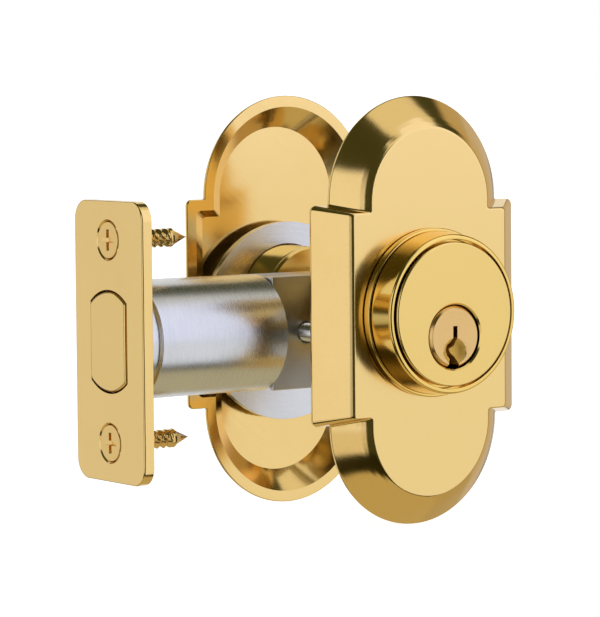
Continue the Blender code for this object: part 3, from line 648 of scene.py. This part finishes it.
def plate_outline(inset, arch_inset, draft, share):
    """The plate's outline with rounded corners; share runs from 0 at its back to 1 at its face."""
    half = PLATE_HALF_WIDTH - inset
    arch = ARCH_RADIUS - arch_inset
    shoulder = SHOULDER_HEIGHT - draft
    outer = SHOULDER_CORNER[0] + (SHOULDER_CORNER[1] - SHOULDER_CORNER[0]) * share
    inner = INNER_CORNER[0] + (INNER_CORNER[1] - INNER_CORNER[0]) * share
    inner = min(inner, 0.95 * (ARCH_CENTRE - shoulder))  # so that it fits between the shoulder and the arch
    made = []
    for end in (0, pi):
        corners = [(half, 0), (half, shoulder), (arch, shoulder), (arch, ARCH_CENTRE)]
        right = rounded(corners, [0, outer, inner, 0], 6, closed=False)[1:-1]
        left = [(-x, y) for x, y in right[::-1]]
        over = right + arc(arch, 0, pi, 65, (0, ARCH_CENTRE)) + left
        made += [(x * cos(end), y * cos(end)) for x, y in over]
    return [(x, y + PLUG_DROP) for x, y in made]


def escutcheon(side):
    """Cast plate: outer walls with rounded edges, a flat face with the cylinder's hole, and a hollow back."""
    walls = (wall_profile(PLATE_BEVEL, SIDE_BULGE), wall_profile(PLATE_BEVEL, ARCH_BULGE),
             wall_profile(SHOULDER_DRAFT))
    face_heights = [PLATE_DEPTH - FACE_CURVE * (1 - n / FACE_STEPS) ** 2 for n in range(FACE_STEPS + 1)]
    rings = []
    for height in [*BACK_HEIGHTS, *BEVEL_HEIGHTS, *face_heights]:
        insets = [inset_at(wall, height) for wall in walls]
        rings.append(at_height(plate_outline(*insets, height / PLATE_DEPTH), height))
    pocket = PLATE_DEPTH - PLATE_WALL
    slope = PLATE_BEVEL / PLATE_DEPTH
    mouth = plate_outline(PLATE_RIM, PLATE_RIM, PLATE_RIM, 0)
    inner = PLATE_RIM + pocket * slope
    floor = plate_outline(inner, inner, PLATE_RIM + SHOULDER_DRAFT, 0.5)
    work, verts = lofted_mesh([at_height(floor, pocket), at_height(mouth, 0), *rings], close_ends=False)
    hole = arc(SLEEVE_RADIUS, 0, 2 * pi, 97, (0, PLUG_DROP))[:-1]
    low = [work.verts.new(point) for point in at_height(hole, pocket)]
    high = [work.verts.new(point) for point in at_height(hole, PLATE_DEPTH)]
    for n in range(len(low)):
        after = (n + 1) % len(low)
        work.faces.new((low[n], low[after], high[after], high[n]))
    for loop, ring in ((verts[0], low), (verts[-1], high)):
        edges = []
        for points in (loop, ring):
            edges += [work.edges.get((points[n], points[n - 1])) for n in range(len(points))]
        bmesh.ops.triangle_fill(work, edges=edges, use_beauty=True)
    made = finish_mesh(f"{side}_cast_plate", work, trim_place(side))
    stand_for(made, f"{side}_escutcheon", "plate")


def base_ring(side):
    """Thin ring between the plate and the collar."""
    back, front = depth_range("front_base_ring")
    radius = size_of("front_base_ring")[2].x / 2
    corners = [(radius, front), (radius, back), (SLEEVE_RADIUS, back), (SLEEVE_RADIUS, front)]
    profile = rounded(corners, [RING_EDGE, TINY_EDGE, TINY_EDGE, TINY_EDGE], 5)
    made = turned(f"{side}_ring", profile, centred(side), 160)
    stand_for(made, f"{side}_base_ring", "collar")


def guard_collar(side):
    """Tapered ring with a rounded rim, a groove round the head and a lip under it."""
    back, front = depth_range("front_guard_collar")
    outer = size_of("front_guard_collar")[2].x / 2
    corners = [
        (COLLAR_BORE, front),
        (outer - COLLAR_TAPER, front),
        (outer, back),
        (SLEEVE_RADIUS, back),
        (SLEEVE_RADIUS, back + COLLAR_LIP),
        (COLLAR_BORE, back + COLLAR_LIP),
    ]
    profile = rounded(corners, [FINE_EDGE, RIM_EDGE, FINE_EDGE, FINE_EDGE, FINE_EDGE, TINY_EDGE], 8)
    made = turned(f"{side}_collar", profile, centred(side), 192)
    stand_for(made, f"{side}_guard_collar", "collar")


def pin_places():
    """How far out of the door each pin stack stands."""
    return [FACE - FIRST_PIN - n * PIN_PITCH for n in range(PIN_COUNT)]


def radial_cutter(name, radius, low, high, place):
    """Five cylinders along the trim's Y, one for each pin stack."""
    rods = []
    for n, height in enumerate(pin_places()):
        stand = Matrix.Translation((0, 0, height)) @ Matrix.Rotation(-pi / 2, 4, "X")
        profile = [(0, high), (radius, high), (radius, low), (0, low)]
        rods.append(turned(f"{name}_{n}", profile, place @ stand, 32))
    return merged(name, *rods)


def cylinder_body(side):
    """Round head and threaded body, bored for the plug, with its pin chambers."""
    place = trim_place(side)
    back = depth_range("front_cylinder_body")[0]
    head = size_of("front_cylinder_body")[2].x / 2
    head_back = FACE - HEAD_THICKNESS
    edge = rounded([(0, FACE), (head, FACE), (head, head_back), (BODY_RADIUS, head_back)],
                   [0, HEAD_EDGE, TINY_EDGE, 0], closed=False)
    lead = 0.5 * MM
    screw = thread(BODY_RADIUS, CYLINDER_THREAD_TOP, back + lead + GAP, CYLINDER_THREAD, CYLINDER_PITCH)
    tail = [(BODY_RADIUS, back + lead), (BODY_RADIUS - lead, back), (0, back)]
    made = turned(f"{side}_cylinder", [*edge, *screw, *tail], centred(side), 128, CYLINDER_PITCH)
    bore = PLUG_RADIUS + GAP
    mouth = 0.3 * MM
    profile = [(0, FACE + OVER), (bore + mouth + OVER, FACE + OVER), (bore, FACE - mouth)]
    profile += [(bore, back - OVER), (0, back - OVER)]
    hole = turned(f"{side}_bore", profile, place)
    top = PLUG_DROP + BODY_RADIUS - CHAMBER_ROOF
    chambers = radial_cutter(f"{side}_chambers", PIN_RADIUS + GAP, PLUG_RADIUS / 2, top, place)
    cut(made, hole, chambers)
    stand_for(made, f"{side}_cylinder_body", "disc")


def keyway_outline():
    """A generic warded keyway, drawn in millimetres: a straight slot over two side wards."""
    left = [(-0.5, 2.2), (-0.5, -0.3), (-0.9, -1.1), (-1.8, -1.6), (-2.05, -2.3), (-2.0, -3.0)]
    left += [(-1.7, -3.7), (-1.0, -4.6), (-1.5, -5.1), (-1.7, -5.7), (-2.0, -7.0)]
    right = [(1.2, -7.0), (1.0, -5.7), (0.6, -4.7), (0.3, -4.1), (-0.6, -3.4), (-1.2, -2.5)]
    right += [(0.15, -1.9), (0.4, -1.0), (0.6, -0.3), (0.6, 2.2)]
    points = [(x * MM, y * MM) for x, y in left + right]
    ends = (0, len(left) - 1, len(left), len(points) - 1)
    radii = [KEYWAY_EDGE / 2 if n in ends else KEYWAY_EDGE for n in range(len(points))]
    return rounded(points, radii, 4)


def plug(side):
    """The turning plug: chamfered face, keyway, key-guide dimple, pin chambers and the dog behind."""
    place = trim_place(side)
    back = depth_range("front_plug")[0]
    body_back = depth_range("front_cylinder_body")[0]
    spigot = PLUG_RADIUS - SPIGOT_STEP
    spigot_back = body_back - SPIGOT_LENGTH
    ring = PLUG_RADIUS - PLUG_CHAMFER
    front = rounded([(0, FACE), (ring, FACE), (PLUG_RADIUS, FACE - PLUG_CHAMFER), (PLUG_RADIUS, body_back)],
                    [0, PLUG_EDGE, PLUG_EDGE, 0], 4, closed=False)
    profile = [*front, (spigot, body_back), (spigot, spigot_back), (0, spigot_back)]
    made = turned(f"{side}_core", profile, place)
    keyway_end = pin_places()[-1] - PIN_RADIUS - GAP
    keyway = prism(f"{side}_keyway", keyway_outline(), keyway_end, FACE + OVER, place)
    bowl = [(0, OVER), (DIMPLE_RADIUS, OVER)]
    for across, down in ((1, 0), (0.7, 0.62), (0.35, 0.93), (0, 1)):
        bowl.append((DIMPLE_RADIUS * across, -DIMPLE_DEPTH * down))
    dimple = turned(f"{side}_dimple", bowl, place @ Matrix.Translation((*DIMPLE_PLACE, FACE)), 64)
    cut(made, dimple, keyway)
    floor = PLUG_RADIUS - PIN_REACH - GAP
    cut(made, radial_cutter(f"{side}_plug_chambers", PIN_RADIUS + GAP, floor, PLUG_RADIUS + OVER, place))
    start = pi / 2 - DOG_SPREAD / 2
    inside = spigot - DOG_WALL + GAP
    dog = arc(spigot, start, DOG_SPREAD, 12) + arc(inside, start, DOG_SPREAD, 12)[::-1]
    cut(made, prism(f"{side}_dog", dog, back, spigot_back + GAP, place), operation="UNION")
    soften(made, 0.05 * MM, 1)
    stand_for(made, f"{side}_plug", "plug")


def plug_cap(side):
    """Cup on the plug's spigot, with a hole that the tailpiece's blade turns in."""
    back, front = depth_range("front_plug_cap")
    outer = size_of("front_plug_cap")[2].x / 2
    cavity = outer - CAP_SIDE
    hole = hypot(BLADE_WIDTH, BLADE_THICKNESS) / 2 + GAP
    floor = back + CAP_FLOOR
    corners = [(outer, front), (outer, back), (hole, back), (hole, floor), (cavity, floor), (cavity, front)]
    profile = rounded(corners, [0.2 * MM, 0.4 * MM, PLUG_EDGE, TINY_EDGE, TINY_EDGE, PLUG_EDGE], 4)
    made = turned(f"{side}_cap", profile, trim_place(side), 96)
    stand_for(made, f"{side}_plug_cap", "turned")


# ---------------------------------------------------------------- latch

def bolt_outline(radius, half):
    """A circle with two flat sides, at this half-width in X."""
    rise = acos(half / radius)
    upper = arc(radius, rise, pi - 2 * rise, 24)
    lower = arc(radius, pi + rise, pi - 2 * rise, 24)
    return upper + lower


def bolt():
    """The bolt: flat-sided bar with a rounded nose, slotted for its bar and bored for its roller."""
    low, high, size = size_of("bolt")
    radius, half = size.z / 2, size.y / 2
    face, back = -low.x, -high.x
    corners = [(0, back), (0, face), (radius, face)]
    edge = rounded(corners, [0, BOLT_NOSE, 0], 6, closed=False)[1:-1]
    rings = [at_height(bolt_outline(radius, half), back)]
    for inset, height in edge:
        share = 1 - inset / radius
        rings.append(at_height([(x * share, y * share) for x, y in bolt_outline(radius, half)], height))
    work, _ = lofted_mesh(rings)
    made = finish_mesh("thrown_bolt", work, EDGE_FRAME)
    slot = block("bolt_slot", (BOLT_SLOT[0], -radius - OVER, back - OVER),
                 (BOLT_SLOT[1], radius + OVER, back + BAR_TONGUE + GAP), EDGE_FRAME)
    roller_low, roller_high, roller = size_of("anti_saw_roller")
    bore_place = EDGE_FRAME @ Matrix.Translation((-(roller_low.y + roller_high.y) / 2, 0, 0))
    reach = roller.z / 2 + GAP
    profile = [(0, face - ROLLER_COVER), (reach, face - ROLLER_COVER), (reach, back - OVER), (0, back - OVER)]
    cut(made, slot, turned("roller_bore", profile, bore_place, 48))
    soften(made, FINE_EDGE)
    stand_for(made, "bolt", "bolt")


def latch_barrel():
    """Tube round the bolt: thinner neck into the faceplate's seat, and a slot for the bolt's bar."""
    low, high, size = size_of("latch_barrel")
    radius = size.z / 2
    inner = radius - BARREL_WALL
    top, back = -low.x, -high.x
    neck = radius - BARREL_STEP
    shoulder = top - SEAT_DEPTH + GAP - NECK_LENGTH
    corners = [(neck, top), (neck, shoulder), (radius, shoulder), (radius, back), (inner, back), (inner, top)]
    profile = rounded(corners, [FINE_EDGE, FINE_EDGE, 0.3 * MM, 0.2 * MM, FINE_EDGE, FINE_EDGE], 4)
    made = turned("barrel_tube", profile, EDGE_FRAME)
    slot_end = -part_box("bolt")[1].x + THROW + GAP
    half = BARREL_SLOT / 2
    outline = [(-half, back - OVER), (half, back - OVER), (half, slot_end), (-half, slot_end)]
    outline = rounded(outline, [0, 0, half / 4, half / 4], 5)
    turn = EDGE_FRAME @ Matrix.Rotation(pi / 2, 4, "X")
    cut(made, prism("barrel_slot", outline, inner / 2, radius + OVER, turn))
    soften(made, FINE_EDGE)
    stand_for(made, "latch_barrel", "barrel")


def screw_places():
    """For each latch screw: its end, height, head radius, top and tip."""
    places = []
    for end in ("upper", "lower"):
        low, high, size = size_of(f"latch_screw_{end}")
        places.append((end, (low.z + high.z) / 2, size.z / 2, -low.x, -high.x))
    return places


def latch_faceplate():
    """Plate in the door's edge: round corners, the bolt's window, two countersinks and the barrel's seat."""
    low, high, size = size_of("latch_faceplate")
    half_x, half_y = size.y / 2, size.z / 2
    top, back = -low.x, -high.x
    corner = FACEPLATE_CORNER
    outline = []
    for n, (sx, sy) in enumerate(((1, 1), (-1, 1), (-1, -1), (1, -1))):
        outline += arc(corner, n * pi / 2, pi / 2, 16, (sx * (half_x - corner), sy * (half_y - corner)))
    rings = []
    edge = rounded([(0, back), (0, top), (corner, top)], [0, FACEPLATE_EDGE, 0], 5, closed=False)[:-1]
    for inset, height in edge:
        share_x, share_y = 1 - inset / half_x, 1 - inset / half_y
        rings.append(at_height([(x * share_x, y * share_y) for x, y in outline], height))
    work, _ = lofted_mesh(rings)
    made = finish_mesh("faceplate", work, EDGE_FRAME)
    bolt_size = size_of("bolt")[2]
    radius, half = bolt_size.z / 2 + GAP, bolt_size.y / 2 + GAP
    window = prism("bolt_window", bolt_outline(radius, half), back - OVER, top + OVER, EDGE_FRAME)
    neck = size_of("latch_barrel")[2].z / 2 - BARREL_STEP + GAP
    seat = [(0, back + SEAT_DEPTH), (neck, back + SEAT_DEPTH), (neck, back - OVER), (0, back - OVER)]
    cutters = [window, turned("barrel_seat", seat, EDGE_FRAME, 96)]
    for end, height, head, _, _ in screw_places():
        wide = head + GAP
        shank = SCREW_RADIUS + GAP
        cone = [(0, top + OVER), (wide + OVER, top + OVER), (shank, top - wide + shank), (shank, back - OVER)]
        place = EDGE_FRAME @ Matrix.Translation((0, height, 0))
        cutters.append(turned(f"{end}_countersink", [*cone, (0, back - OVER)], place, 64))
    cut(made, *cutters)
    soften(made, TINY_EDGE)
    stand_for(made, "latch_faceplate", "faceplate")


def cross_cutters(name, head, top, place):
    """Cutters for a tapered cross recess: two crossed wedges under the top of a head of this radius."""
    reach = head * RECESS_REACH
    blades = []
    for n, turn in enumerate((0, pi / 2)):
        half = reach / RECESS_SLIMNESS
        upper = [(-reach, -half), (reach, -half), (reach, half), (-reach, half)]
        lower = [(x * RECESS_FLOOR[0], y * RECESS_FLOOR[1]) for x, y in upper]
        rings = [at_height(lower, top - RECESS_DEPTH), at_height(upper, top), at_height(upper, top + OVER)]
        work, _ = lofted_mesh(rings)
        blades.append(finish_mesh(f"{name}_{n}", work, place @ Matrix.Rotation(turn, 4, "Z")))
    return blades


def latch_screw(end, height, head, top, tip):
    """Countersunk wood screw: cross recess, coarse thread and a pointed end."""
    place = EDGE_FRAME @ Matrix.Translation((0, height, 0))
    cone = (SCREW_RADIUS, top - head + SCREW_RADIUS)
    shank = rounded([(0, top), (head, top), cone, (SCREW_RADIUS, top - WOOD_SHANK)],
                    [0, 0.15 * MM, 0.3 * MM, 0], 4, closed=False)
    worm_top = top - WOOD_SHANK - 0.2 * MM
    worm = thread(SCREW_RADIUS, worm_top, tip + 2 * SCREW_RADIUS, WOOD_THREAD, WOOD_PITCH)
    point = [(SCREW_RADIUS * WOOD_POINT[0], tip + WOOD_POINT[1] * SCREW_RADIUS), (0, tip)]
    made = turned(f"wood_screw_{end}", [*shank, *worm, *point], place, 48, WOOD_PITCH)
    cut(made, *cross_cutters(f"{end}_cross", head, top, place))
    stand_for(made, f"latch_screw_{end}", "screw")


def through_screw(end):
    """Long machine screw: domed head with a cross recess, and a fine thread at its far end."""
    node = f"through_screw_{end}"
    low, high, size = size_of(node)
    place = MIDDLE @ Matrix.Translation(((low.x + high.x) / 2, 0, 0))
    tip, head_top = -low.y, -high.y
    head = size.z / 2
    head_low = head_top + MACHINE_HEAD
    worm = thread(SCREW_RADIUS, tip - 0.4 * MM, MACHINE_THREAD_END, MACHINE_THREAD, MACHINE_PITCH)
    cap = rounded([(SCREW_RADIUS, head_low), (head, head_low), (head, head_top), (0, head_top)],
                  [0, TINY_EDGE, DOME_EDGE, 0], closed=False)
    profile = [(0, tip), (SCREW_RADIUS - GAP, tip), *worm, *cap]
    made = turned(node + "_fine", profile, place, 48, MACHINE_PITCH)
    flip = Matrix.Rotation(pi, 4, "X")
    cut(made, *cross_cutters(f"{end}_through", head, -head_top, place @ flip))
    stand_for(made, node, "zinc_turned")


# ---------------------------------------------------------------- build the pieces

for side in SIDES:
    escutcheon(side)
    base_ring(side)
    guard_collar(side)
    cylinder_body(side)
    plug(side)
    plug_cap(side)
    dress(f"{side}_mounting_plate", "zinc_turned", 0.2 * MM)
    dress(f"{side}_tailpiece", "zinc", 0.12 * MM)
    dress(f"{side}_set_screw", "hard", 0.08 * MM)
    for n in range(1, PIN_COUNT + 1):
        dress(f"{side}_key_pin_{n}", "turned", 0.1 * MM)
        dress(f"{side}_driver_pin_{n}", "turned", 0.1 * MM)
        dress(f"{side}_pin_spring_{n}", "spring", 0)
bolt()
latch_barrel()
latch_faceplate()
for screw in screw_places():
    latch_screw(*screw)
for end in ("left", "right"):
    through_screw(end)
dress("hub", "zinc_turned", 0.15 * MM)
dress("bolt_bar", "zinc_bar", 0.2 * MM)
for side in SIDES:
    dress(f"latch_case_{side}", "zinc_bar", 0.25 * MM)
dress("anti_saw_roller", "hard", 0.2 * MM)


# ---------------------------------------------------------------- studio

def softbox(tree, azimuth, elevation, box):
    """The colour of one lit patch of the studio, black outside it, with a soft border."""
    low_a, high_a, low_e, high_e, blur, light = box
    mask = 1.0
    for angle, low, high in ((azimuth, low_a, high_a), (elevation, low_e, high_e)):
        away = tree.math("ABSOLUTE", tree.math("SUBTRACT", angle, (low + high) / 2))
        half = (high - low) / 2
        inside = tree.span(away, half - blur / 2, half + blur / 2, 1.0, 0.0, "SMOOTHSTEP")
        mask = tree.product(inside, mask)
    return tree.scaled(light, mask)


# Softboxes, in degrees: azimuth from, to, elevation from, to, border, light. Azimuth 0 is in front of the
# lock, at -Y, and 90 is at +X. Where two overlap, the brighter one counts.
SOFTBOXES = [
    (17, 66, -38, 42, 6, (0.93, 0.95, 1.02)),
    (17, 66, -4, 60, 8, (1.07, 1.10, 1.32)),
    (-4, 30, 29, 46, 6, (0.90, 0.90, 0.90)),
    (-76, -34, -30, 26, 5, (0.80, 0.76, 0.70)),
    (-76, -34, -12, 26, 9, (0.95, 0.96, 1.04)),
    (88, 128, -27, 22, 8, (0.59, 0.50, 0.37)),
    (88, 128, 0, 37, 8, (0.53, 0.43, 0.25)),
    (60, 100, -45, 25, 8, (0.44, 0.36, 0.20)),
    (60, 140, -62, -20, 8, (0.50, 0.42, 0.25)),
    (130, 178, -42, 45, 8, (0.90, 0.90, 0.90)),
    (-166, -96, -42, 45, 8, (0.80, 0.80, 0.80)),
]
# A round one: azimuth, elevation, radius, half the border, light
OVERHEAD = (45, 61, 23.8, 2.5, (0.84, 0.81, 0.74))
# The unlit room, above and below this stretch of elevation, and the lit floor, below the second stretch
DARK = (0.055, 0.058, 0.022)
DARK_BELOW = (0.022, 0.020, 0.005)
BELOW = (-31, -24)
FLOOR_LIGHT = (0.55, 0.47, 0.28)
FLOOR_EDGE = (-50, -45)
WHITE = (1.0, 1.0, 1.0, 1.0)
FLOOR_TONE = (0.95, 0.95, 0.94, 1.0)
FLOOR_GLOW = 0.86
FLOOR_SIZE = 40.0


def overhead(tree, facing):
    """The colour of the round softbox over the lock, black outside it."""
    turn, rise, radius, border, light = OVERHEAD
    turn, rise = radians(turn), radians(rise)
    centre = (sin(turn) * cos(rise), -cos(turn) * cos(rise), sin(rise))
    lean = tree.add("VectorMath", operation="DOT_PRODUCT")
    tree.put(lean.inputs[0], facing)
    tree.put(lean.inputs[1], centre)
    reach = [cos(radians(radius + step)) for step in (border, -border)]
    return tree.scaled(light, tree.span(lean.outputs["Value"], *reach, 0.0, 1.0, "SMOOTHSTEP"))


def studio():
    """Soft boxes round the lock for light and reflections, and plain white behind it."""
    world = bpy.data.worlds.new("studio")
    bpy.context.scene.world = world
    world.use_nodes = True
    tree = Tree(world.node_tree)
    facing = tree.add("TexCoord").outputs["Generated"]
    parts = tree.parts(facing)
    to_degrees = 180 / pi
    azimuth = tree.product(tree.math("ARCTAN2", parts[0], tree.product(parts[1], -1.0)), to_degrees)
    elevation = tree.product(tree.math("ARCSINE", parts[2]), to_degrees)
    light = tree.mix("VECTOR", tree.span(elevation, *BELOW, 0.0, 1.0, "SMOOTHSTEP"), DARK_BELOW, DARK)
    for box in SOFTBOXES:
        light = tree.vector("MAXIMUM", light, softbox(tree, azimuth, elevation, box))
    light = tree.vector("MAXIMUM", light, overhead(tree, facing))
    ground = tree.span(elevation, *FLOOR_EDGE, 1.0, 0.0, "SMOOTHSTEP")
    lit = tree.add("Background", {"Color": tree.mix("VECTOR", ground, light, FLOOR_LIGHT)})
    plain = tree.add("Background", {"Color": WHITE})
    both = tree.add("MixShader")
    seen = tree.add("LightPath").outputs["Is Camera Ray"]
    for socket, value in zip(both.inputs, (seen, lit.outputs[0], plain.outputs[0])):
        tree.put(socket, value)
    tree.add("OutputWorld", {"Surface": both.outputs[0]})


def floor():
    """Plain pale floor under the lock. The metals mirror the studio's own lower part instead."""
    bpy.ops.mesh.primitive_plane_add(size=FLOOR_SIZE, location=(0, 0, cad_box[0].z - 0.1 * MM))
    made = bpy.context.object
    made.name = "floor"
    pale = bpy.data.materials.new("pale_floor")
    pale.use_nodes = True
    tree = Tree(pale.node_tree)
    shader = tree.add("BsdfDiffuse", {"Color": FLOOR_TONE, "Roughness": 0.5})
    glow = tree.add("Emission", {"Color": WHITE, "Strength": FLOOR_GLOW})
    both = tree.add("AddShader")
    tree.put(both.inputs[0], shader.outputs[0])
    tree.put(both.inputs[1], glow.outputs[0])
    tree.add("OutputMaterial", {"Surface": both.outputs[0]})
    made.data.materials.append(pale)
    made.visible_glossy = False


# ---------------------------------------------------------------- camera

CAMERA_AZIMUTH = -37.72
CAMERA_ELEVATION = 4.21
CAMERA_ROLL = -0.33
CAMERA_DISTANCE = 665 * MM
LENS = 187.0
SENSOR = 36.0
CLIP = (0.05, 60.0)
# Where the middle of the front plate's back shows, as shares of the frame's longer side from its centre
FRAMED = (0.1817, -0.0032)


def camera():
    """At the photo's viewing angle, turned a little aside so that the rear trim fits on the left."""
    data = bpy.data.cameras.new("camera")
    data.lens = LENS
    data.sensor_width = SENSOR
    data.clip_start, data.clip_end = CLIP
    made = bpy.data.objects.new("camera", data)
    bpy.context.scene.collection.objects.link(made)
    azimuth, elevation = radians(CAMERA_AZIMUTH), radians(CAMERA_ELEVATION)
    back = Vector((sin(azimuth) * cos(elevation), -cos(azimuth) * cos(elevation), sin(elevation)))
    target = Vector((0, -HALF_DOOR, PLUG_DROP))
    move = Matrix.Translation(target + back * CAMERA_DISTANCE)
    turn = (-back).to_track_quat("-Z", "Y").to_matrix().to_4x4()
    pan = Matrix.Rotation(atan2(FRAMED[0] * SENSOR, LENS), 4, "Y")
    tilt = Matrix.Rotation(-atan2(FRAMED[1] * SENSOR, LENS), 4, "X")
    roll = Matrix.Rotation(radians(CAMERA_ROLL), 4, "Z")
    made.matrix_world = move @ turn @ roll @ pan @ tilt
    bpy.context.scene.camera = made


studio()
floor()
camera()
bpy.context.scene.view_settings.view_transform = "Standard"
